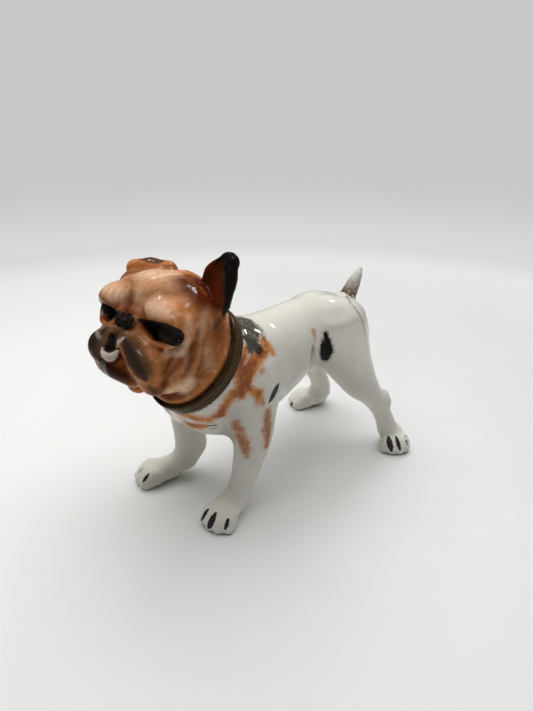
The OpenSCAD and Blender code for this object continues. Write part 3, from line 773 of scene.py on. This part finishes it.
def head_paint(V, N):
    q = HEAD_TURN.T @ (V - HEAD_AT[:, None])
    n = HEAD_TURN.T @ N
    s = mirrored(q)
    small, wide = hollow(head_field, V, N, 0.9), hollow(head_field, V, N, 3.4)
    cavity = np.clip(1.5 * small + 0.7 * wide - 0.1, 0, 1)
    tone = np.repeat(TAN[:, None], V.shape[1], 1)

    def wash(colour, mask):
        nonlocal tone
        tone = tone + (colour[:, None] - tone) * mask

    def strokes(rows):
        for colour, strength, soft, both, line in rows:
            wash(colour, strength * dab(s if both else q, line, soft))

    # pale places: the skull, the brows, under the eyes, bands on the cheek and jowl; paler paint, and painted
    # highlights where light falls on them
    wash(PALE, 0.42 * edge(lobe(q, (-2, -9, 11.6), (14, 9.6, 7.4)), 6))
    wash(PALE, 0.75 * edge(lobe(q, (-3, -6, 15.6), (8, 6.4, 4.6)), 4))
    strokes(BASE_STROKES_AND_HIGHLIGHTS)
    # dark places: round the eyes, the mouth and chin, the creases; in the creases this is partly painted
    # shade
    wash(DEEP, 0.5 * edge(lobe(s, (8.6, -15, 2.6), (7.4, 4, 3)), 2.6))
    wash(DEEP, 0.85 * edge(lobe(q, (0, -17, -12.4), (9, 7, 4.6)), 5))
    strokes(FOLDS)
    # painted shade in the creases and hollows, over the brown gathered there
    wash(DEEP, np.clip(1.1 * cavity, 0, 0.9))
    # painted highlights under the eyes and on the jowls
    strokes(PAINTED_HIGHLIGHTS)
    # the muzzle, streaked nearly black over a smoky haze
    flew = dab(s, [(2.6, -20, -0.6, 1.4), (6.6, -19.6, -2.4, 2.4), (10, -19.6, -5.6, 3),
                   (12, -18.2, -8.6, 2.2)], 3.2)
    wash(GREY, 0.9 * flew)
    front = dab(q, [(0.4, -17.6, -0.4, 1.4), (-1.4, -19.6, -3.6, 3), (-6.4, -19, -6, 4),
                    (-9, -18, -8.4, 3.4)], 3.4)
    wash(GREY, 0.75 * front)
    streak = most(
        dab(s, [(3, -20, -1.4, 0.9), (5.4, -20.4, -3.2, 1.9), (8.4, -20, -6.6, 2.5), (10.6, -18.6, -9.6, 1.9),
                (11.6, -17, -11.4, 1)], 3.4),
        dab(q, [(-9.8, -19.6, -4.4, 0.8), (-9.4, -19.6, -7.4, 1.3), (-7.6, -19.6, -10.2, 1.1),
                (-4, -20, -12, 0.9)], 2.6),
        dab(q, [(-1.4, -20.6, -1.6, 0.6), (-1, -21, -4, 1), (-2.6, -21, -6, 0.7)], 2))
    strokes(SMUDGES)
    # ears: dark red inside, black at the rim and down the back
    left = (q[0] > 3) & (q[2] > 7)
    red = np.clip((0.3 - n[1]) / 0.4, 0, 1) * np.clip((q[2] - 11.4 + 0.5 * (q[0] - 12)) / 2.4, 0, 1)
    wash(EAR_RED, np.where(left, 0.93 * red, 0))
    rim = np.where(left | ((q[0] > 15) & (q[2] > 8)), most(
        dab(q, [(16, 4, 26.4, 2.3), (17.8, 4, 22, 2.3), (18.6, 3.4, 17, 1.7), (19.2, 3, 13, 1.2),
                (19, 2.6, 9.4, 0.9)], 2.4),
        dab(q, [(15, 4, 26.6, 1.3), (12.4, 4, 24.4, 0.6), (10.6, 3.8, 22, 0.2)], 2)), 0)
    ear = edge(lobe(q, (13.2, 4, 15), (6.8, 4.6, 4.6), (14.6, 4.8, 24), (5.4, 4, 4.6)), 1.6)
    rim = rim * np.maximum(ear, q[2] < 14)
    shade = dab(q, [(15.6, 4, 26, 2.8), (17.4, 4, 22, 3.4), (18.2, 3.4, 17, 2.8), (18.8, 3, 12, 1.6)], 3)
    shade = np.where(left, ear * shade, 0)
    back = np.where(left, np.clip((n[1] - 0.2) / 0.3, 0, 1) * ear * np.clip((q[2] - 12.4) / 2, 0, 1), 0)
    fold = 0.9 * edge(lobe(q, (-14, 2.4, 18.4), (6.4, 3.4, 2.2)), 2) * (q[0] < -3)
    eyes = dab(s, EYE, 1) * (q[0] > -2)
    far = edge(lobe(s, (9.6, -14.6, 2), (6.4, 4, 2.6)), 1) * (q[0] < 0) * (n[0] < -0.2)
    far = most(dab(q, FAR_EYE, 1), far)
    nose = most(*[dab(q, e, 1) for e in NOSE])
    teeth = edge(string(q, TEETH) - 0.15, 0.5)
    # painted highlights: a white crescent on each flew
    glint = most(dab(q, [(2.2, -21, -4.4, 0.25), (2.6, -21, -2.8, 0.55), (3.8, -20.6, -1.3, 0.35)], 0.6),
                 0.6 * dab(q, [(-7, -21, -3, 0.6), (-5.6, -21, -3.8, 0.8)], 1.6))
    wash(BONE, np.maximum(teeth, 0.85 * glint))
    ink = most(eyes, far, nose, rim, back, 0.8 * dab(q, [(-0.4, -21, -2, 1), (-0.4, -21, -5, 1.6)], 2))
    bare = (1 - teeth) * (1 - glint)
    jaw = dab(s, [(12.2, -15.6, -13.8, 0.8), (12.8, -13.9, -15.3, 1.5), (10, -11, -18, 1)], 2.4)
    smoke = most(0.45 * flew, 0.4 * front, 0.95 * streak, fold, 0.8 * shade, 0.62 * jaw)
    return {"tone": np.clip(tone, 0.004, 0.9).T, "ink": ink * bare, "soot": smoke * bare, "cavity": cavity}


# ---------------------------------------------------------------- glazes


class Graph:
    def __init__(self, name):
        self.material = bpy.data.materials.new(name)
        self.material.use_nodes = True
        self.tree = self.material.node_tree
        self.shader = self.tree.nodes["Principled BSDF"]

    def node(self, kind, **values):
        n = self.tree.nodes.new("ShaderNode" + kind)
        for key, value in values.items():
            setattr(n, key, value)
        return n

    def put(self, socket, value):
        if hasattr(value, "is_output"):
            self.tree.links.new(value, socket)
        else:
            socket.default_value = (*value, 1) if isinstance(value, tuple) else value

    def fill(self, node, **values):
        """Sets a node's inputs, with _ for a space in an input's name."""
        for key, value in values.items():
            self.put(node.inputs[key.replace("_", " ")], value)

    def place(self):
        return self.node("TexCoord").outputs["Object"]

    def vector(self, kind, a, b=(0, 0, 0)):
        n = self.node("VectorMath", operation=kind)
        self.put(n.inputs[0], a)
        n.inputs[1].default_value = b
        return n.outputs

    def layer(self, name, what="Fac"):
        return self.node("Attribute", attribute_name=name).outputs[what]

    def noise(self, scale, detail=3, rough=0.55, distort=0.0, stretch=(1, 1, 1)):
        n = self.node("TexNoise")
        self.fill(n, Vector=self.vector("MULTIPLY", self.place(), stretch)[0], Scale=scale, Detail=detail,
                  Roughness=rough, Distortion=distort)
        return n.outputs["Fac"]

    def math(self, kind, a, b):
        n = self.node("Math", operation=kind)
        self.put(n.inputs[0], a)
        self.put(n.inputs[1], b)
        return n.outputs[0]

    def add(self, a, b):
        return self.math("ADD", a, b)

    def times(self, a, b):
        return self.math("MULTIPLY", a, b)

    def ragged(self, mask, noise, middle, gain):
        """mask with its edge broken up by noise."""
        return self.add(mask, self.times(self.math("SUBTRACT", noise, middle), gain))

    def span(self, value, lo, hi, to_lo=0.0, to_hi=1.0):
        n = self.node("MapRange", interpolation_type="SMOOTHSTEP")
        for i, v in enumerate((value, lo, hi, to_lo, to_hi)):
            self.put(n.inputs[i], v)
        return n.outputs[0]

    def mix(self, fac, a, b):
        n = self.node("Mix", data_type="RGBA")
        self.put(n.inputs["Factor"], fac)
        self.put(n.inputs[6], a)
        self.put(n.inputs[7], b)
        return n.outputs[2]

    def specks(self, scale, size, share):
        """Sparse round dots: pits and dust under the glaze."""
        v = self.node("TexVoronoi")
        self.fill(v, Vector=self.place(), Scale=scale)
        red = self.node("SeparateColor")
        self.put(red.inputs[0], v.outputs["Color"])
        chosen = self.math("LESS_THAN", red.outputs[0], share)
        return self.math("MULTIPLY", self.span(v.outputs["Distance"], size, size * 0.4), chosen)

    def finish(self, colour, rough, height, depth, specular):
        bump = self.node("Bump")
        self.fill(bump, Strength=0.6, Distance=depth, Height=height)
        self.fill(self.shader, Base_Color=colour, Roughness=rough, Normal=bump.outputs[0],
                  Specular_IOR_Level=specular)
        return self.material


def white_glaze():
    g = Graph("white_glaze")
    cloud, grain, fine = g.noise(60, 3), g.noise(900, 4, 0.7), g.noise(2600, 3, 0.7)
    colour = g.mix(g.span(cloud, 0.3, 0.7), (0.72, 0.70, 0.62), (0.81, 0.795, 0.72))
    # painted shade: the white darkens in creases and hollows and on the chest under the head
    colour = g.mix(g.span(g.layer("cavity"), 0.15, 0.95, 0, 0.75), colour, (0.27, 0.235, 0.19))
    edges = g.add(g.times(g.noise(430, 5, 0.7, 0.5, (1, 0.45, 0.8)), 0.62), g.times(grain, 0.22))
    # rust: thin and washed out at its edge, thick and red-brown within
    rust = g.ragged(g.layer("rust"), edges, 0.42, 2.2)
    rust = g.ragged(rust, fine, 0.5, 0.8)
    load = g.ragged(rust, g.noise(170, 3), 0.5, 1.8)
    thin, thick = g.span(rust, 0.22, 0.85), g.span(load, 0.6, 1.25)
    colour = g.mix(g.times(thin, 0.93), colour, g.mix(thick, (0.66, 0.23, 0.035), (0.33, 0.06, 0.0)))
    tint = g.ragged(g.ragged(g.layer("tint"), g.noise(360, 4, 0.7), 0.5, 1.5), fine, 0.5, 1.7)
    shade = g.mix(g.span(tint, 0.8, 1.3), (0.56, 0.22, 0.06), (0.34, 0.085, 0.01))
    colour = g.mix(g.span(tint, 0.4, 1.1, 0, 0.85), colour, shade)
    smoke = g.times(g.layer("smoke"), g.span(g.noise(1100, 3, 0.7), 0.2, 0.62))
    shade = g.mix(g.span(g.noise(500, 3), 0.35, 0.65), (0.08, 0.066, 0.05), (0.17, 0.1, 0.055))
    colour = g.mix(smoke, colour, shade)
    # soot and ink
    broken = g.add(g.times(fine, 0.85), g.times(grain, 0.35))
    soot = g.ragged(g.layer("soot"), broken, 0.6, 2.4)
    colour = g.mix(g.times(g.span(soot, 0.35, 0.85), 0.93), colour, (0.03, 0.025, 0.017))
    ink = g.span(g.ragged(g.layer("ink"), broken, 0.6, 0.75), 0.42, 0.62)
    colour = g.mix(g.times(ink, 0.97), colour, (0.012, 0.0115, 0.011))
    colour = g.mix(g.times(g.specks(210, 0.09, 0.2), 0.6), colour, (0.2, 0.13, 0.08))
    rough = g.span(g.add(ink, g.times(grain, 0.4)), 0.1, 1.4, 0.07, 0.26)
    ripple = g.add(g.times(cloud, 3), g.times(g.noise(170, 2), 1.2))
    height = g.add(ripple, g.add(g.times(ink, 0.5), g.times(grain, 0.15)))
    return g.finish(colour, rough, height, 0.00008, 0.13)


def head_glaze(name):
    g = Graph(name)
    grain, fine = g.noise(900, 4, 0.7), g.noise(2400, 3, 0.7)
    brush = g.noise(330, 4, 0.6, 0.4, (1.6, 0.7, 1))
    colour = g.layer("tone", "Color")
    split_rgb = g.node("SeparateColor")
    g.put(split_rgb.inputs[0], colour)
    light = g.span(split_rgb.outputs[0], 0.2, 0.55)
    shade = g.mix(light, (0.05, 0.014, 0.004), (0.3, 0.095, 0.025))
    colour = g.mix(g.span(brush, 0.42, 0.7, 0, 0.4), colour, shade)
    pale = g.times(light, g.span(g.noise(280, 4, 0.6, 0.6), 0.48, 0.7, 0, 0.4))
    colour = g.mix(pale, colour, (0.88, 0.57, 0.37))
    soot = g.ragged(g.layer("soot"), fine, 0.5, 1.1)
    colour = g.mix(g.times(g.span(soot, 0.4, 0.9), 0.85), colour, (0.03, 0.024, 0.02))
    ink = g.span(g.ragged(g.layer("ink"), grain, 0.5, 0.3), 0.42, 0.62)
    colour = g.mix(g.times(ink, 0.97), colour, (0.011, 0.0105, 0.01))
    colour = g.mix(g.times(g.specks(260, 0.08, 0.2), 0.6), colour, (0.06, 0.02, 0.01))
    rough = g.span(grain, 0.2, 0.8, 0.14, 0.3)
    height = g.add(g.times(brush, 1.2), g.times(grain, 0.2))
    return g.finish(colour, rough, height, 0.00003, 0.07)


def collar_glaze():
    g = Graph("collar_glaze")
    grain = g.noise(900, 4, 0.7)
    along = g.node("CombineXYZ")
    g.put(along.inputs[0], g.times(g.layer("across"), 1.3))
    g.put(along.inputs[1], g.times(g.layer("round"), 9.0))
    streak = g.node("TexNoise")
    g.fill(streak, Vector=along.outputs[0], Scale=1, Detail=5)
    streak = streak.outputs["Fac"]
    colour = g.mix(g.span(streak, 0.35, 0.7), (0.085, 0.045, 0.015), (0.016, 0.007, 0.002))
    colour = g.mix(g.span(g.layer("band"), 0.0, 1.0, 0, 0.5), colour, (0.115, 0.073, 0.032))
    colour = g.mix(g.span(g.layer("edge"), 0.3, 0.8, 0, 0.6), colour, (0.018, 0.01, 0.005))
    height = g.add(streak, g.times(grain, 0.4))
    return g.finish(colour, g.span(grain, 0.2, 0.8, 0.2, 0.38), height, 0.0001, 0.1)


white = white_glaze()
head_material, ear_material = head_glaze("head_glaze"), head_glaze("ear_glaze")

V, Q = sculpt(body_field, *BODY_BOX, BODY_CELL)
DOWN = (0, 0, -1)
parts = split(body_field, V, Q, [
    ("torso", None, None, None),
    ("front_leg_left", lambda C: (C[1] < 0) & (C[0] > 0), (0, 0, FRONT_SEAM), DOWN),
    ("front_leg_right", lambda C: (C[1] < 0) & (C[0] < 0), (0, 0, FRONT_SEAM), DOWN),
    ("hind_leg_left", lambda C: (C[1] > 8) & (C[0] > 0), (0, 0, HIND_SEAM), DOWN),
    ("hind_leg_right", lambda C: (C[1] > 8) & (C[0] < 0), (0, 0, HIND_SEAM), DOWN),
    ("tail", lambda C: C[1] > 30, TAIL_SEAM, TAIL_WAY)])
for name, part in parts.items():
    sculpted_piece(name, body_field, part, body_paint, white)



def toward(*v):
    return tuple(HEAD_TURN @ vec(*v))


def there(*v):
    return tuple(HEAD_TURN @ vec(*v) + HEAD_AT)


def local_x(C):
    return HEAD_TURN[:, 0] @ (C - HEAD_AT[:, None])


V, Q = sculpt(head_field, *HEAD_BOX, HEAD_CELL)
parts = split(head_field, V, Q, [
    ("head", None, None, None),
    ("ear_left", lambda C: local_x(C) > 3, there(9.2, 3, 16), toward(0.5, 0, 0.87)),
    ("ear_right", lambda C: local_x(C) < -3, there(-8.5, 3, 16), toward(-0.45, 0, 0.89))])
for name, part in parts.items():
    slot, glaze = ("painted_head", head_material) if name == "head" else ("painted_ear", ear_material)
    sculpted_piece(name, head_field, part, head_paint, glaze)

# collar
rings = 240
profile = [(-2.5, 0), (-2.6, 0.45), (-2.3, 0.85), (-1.6, 1.05), (-0.6, 1.15), (0.6, 1.15), (1.6, 1.05),
           (2.3, 0.85), (2.6, 0.45), (2.5, 0), (1.5, -0.4), (-1.5, -0.4)]
a = np.linspace(0, 2 * math.pi, rings, endpoint=False)
way = vec(1, 0, 0)[:, None] * np.cos(a) + NECK_BACK[:, None] * np.sin(a)
V = np.concatenate([NECK_AT[:, None] + NECK_UP[:, None] * h + (NECK_R + r) * way
                    for h, r in profile], 1).astype(np.float32)
quads = []
for i in range(len(profile)):
    j = (i + 1) % len(profile)
    k = np.arange(rings)
    quads.append(np.stack([i * rings + k, i * rings + (k + 1) % rings,
                           j * rings + (k + 1) % rings, j * rings + k], 1))
across = np.repeat([h for h, _ in profile], rings)
band = np.exp(-((across - 0.3) / 0.9) ** 2)
rim = np.clip((np.abs(across) - 1.9) / 0.6, 0, 1)
round_it = np.tile(a / (2 * math.pi), len(profile))
make_piece("collar_strap", "collar", V, np.concatenate(quads)[:, ::-1], np.zeros((0, 3), int),
           {"band": band, "edge": rim, "across": across, "round": np.abs(round_it - 0.5) * 2}, collar_glaze())

# ---------------------------------------------------------------- camera, floor and light

AZ, EL = math.radians(50.3), math.radians(25)
CAMERA_AT = Vector((137.5, -111.4, 132))
LENS = 27.03
forward = Vector((-math.sin(AZ) * math.cos(EL), math.cos(AZ) * math.cos(EL), -math.sin(EL)))
right = Vector((math.cos(AZ), math.sin(AZ), 0))
cam = bpy.data.objects.new("camera", bpy.data.cameras.new("camera"))
cam.matrix_world = Matrix.Translation(CAMERA_AT * MM) @ Matrix(
    (right, right.cross(forward), -forward)).transposed().to_4x4()
cam.data.lens = LENS
cam.data.clip_start = 0.01
bpy.context.scene.collection.objects.link(cam)
bpy.context.scene.camera = cam
bpy.context.scene.view_settings.view_transform = "Standard"

# a pale floor, and a seamless wall round it that only the camera sees
sides = 96
BLACK = (0, 0, 0)


def turned(name, path):
    verts = [(r * math.cos(t), r * math.sin(t), z) for r, z in path
             for t in np.linspace(0, 2 * math.pi, sides, endpoint=False)]
    faces = [(i + k, i + (k + 1) % sides, i + sides + (k + 1) % sides, i + sides + k)
             for i in range(0, sides * (len(path) - 1), sides) for k in range(sides)]
    mesh = bpy.data.meshes.new(name)
    mesh.from_pydata(verts, [], faces)
    mesh.polygons.foreach_set("use_smooth", [True] * len(mesh.polygons))
    obj = bpy.data.objects.new(name, mesh)
    bpy.context.scene.collection.objects.link(obj)
    return obj


floor = turned("floor", [(0.0001, 0)] + [(r, 0) for r in (0.05, 0.1, 0.2, 0.3, 0.42)])
g = Graph("floor")
speck = g.specks(120, 0.07, 0.12)
# painted light: the floor is paler towards -X -Y, as if more light fell there
slope = g.span(g.vector("DOT_PRODUCT", g.place(), (-0.64, -0.77, 0))["Value"], -0.02, 0.12)
colour = g.mix(g.span(g.noise(14, 4), 0.3, 0.7), (0.79, 0.79, 0.78), (0.82, 0.82, 0.815))
colour = g.mix(slope, colour, (0.93, 0.93, 0.915))
colour = g.mix(g.times(speck, 0.25), colour, (0.5, 0.5, 0.49))
# painted light: past 0.16 m the floor glows instead of being lit, dimming outwards into the wall
away = g.vector("LENGTH", g.place())["Value"]
far = g.span(away, 0.16, 0.36)
glow = g.mix(g.span(away, 0.3, 0.42), (0.8, 0.8, 0.79), (0.655, 0.655, 0.655))
g.fill(g.shader, Base_Color=g.mix(far, colour, BLACK), Emission_Color=g.mix(far, BLACK, glow),
       Emission_Strength=1, Roughness=0.45, Specular_IOR_Level=0.2)
floor.data.materials.append(g.material)
wall = turned("wall", [(0.4 + 0.06 * math.sin(t), 0.06 - 0.06 * math.cos(t) - 0.0002)
                       for t in np.linspace(0, math.pi / 2, 12)] + [(0.46, 0.2), (0.46, 0.6)])
g = Graph("wall")
height = g.node("SeparateXYZ")
g.put(height.inputs[0], g.place())
# painted light: the wall glows, paler at its foot and darker upwards
tone = g.mix(g.span(height.outputs[2], -0.02, 0.06), (0.72, 0.72, 0.72), (0.575, 0.577, 0.575))
g.fill(g.shader, Base_Color=BLACK, Emission_Color=tone, Emission_Strength=1, Specular_IOR_Level=0)
wall.data.materials.append(g.material)
wall.visible_diffuse = wall.visible_glossy = wall.visible_shadow = False

world = bpy.data.worlds.new("world")
world.use_nodes = True
tree = world.node_tree
split_way = tree.nodes.new("ShaderNodeSeparateXYZ")
tree.links.new(tree.nodes.new("ShaderNodeTexCoord").outputs["Generated"], split_way.inputs[0])
ramp = tree.nodes.new("ShaderNodeMapRange")
tree.links.new(split_way.outputs[1], ramp.inputs[0])
for i, v in ((1, -0.6), (2, 1), (3, 0.03), (4, 0.15)):
    ramp.inputs[i].default_value = v
tree.nodes["Background"].inputs["Color"].default_value = (1, 0.985, 0.955, 1)
tree.links.new(ramp.outputs[0], tree.nodes["Background"].inputs["Strength"])
bpy.context.scene.world = world


def softbox(name, direction, away, size, power, glossy=True, glint=False):
    light = bpy.data.lights.new(name, "AREA")
    light.shape = "RECTANGLE"
    light.size, light.size_y = size
    light.energy = power
    o = bpy.data.objects.new(name, light)
    d = Vector(direction).normalized()
    o.location = d * away + Vector((0, 0, 0.04))
    o.rotation_euler = (-d).to_track_quat("-Z", "Y").to_euler()
    o.visible_glossy = glossy
    o.visible_diffuse = not glint
    bpy.context.scene.collection.objects.link(o)


softbox("sky", (-0.2, 0.08, 0.97), 0.66, (1.05, 0.95), 7.6, False)
softbox("strip", (-0.2, 0.68, 0.7), 0.6, (0.1, 0.009), 1.2, glint=True)
softbox("window", (0.22, -0.38, 0.9), 0.6, (0.035, 0.02), 0.95, glint=True)
softbox("far_window", (-0.5, 0.1, 0.86), 0.6, (0.02, 0.04), 0.65, glint=True)
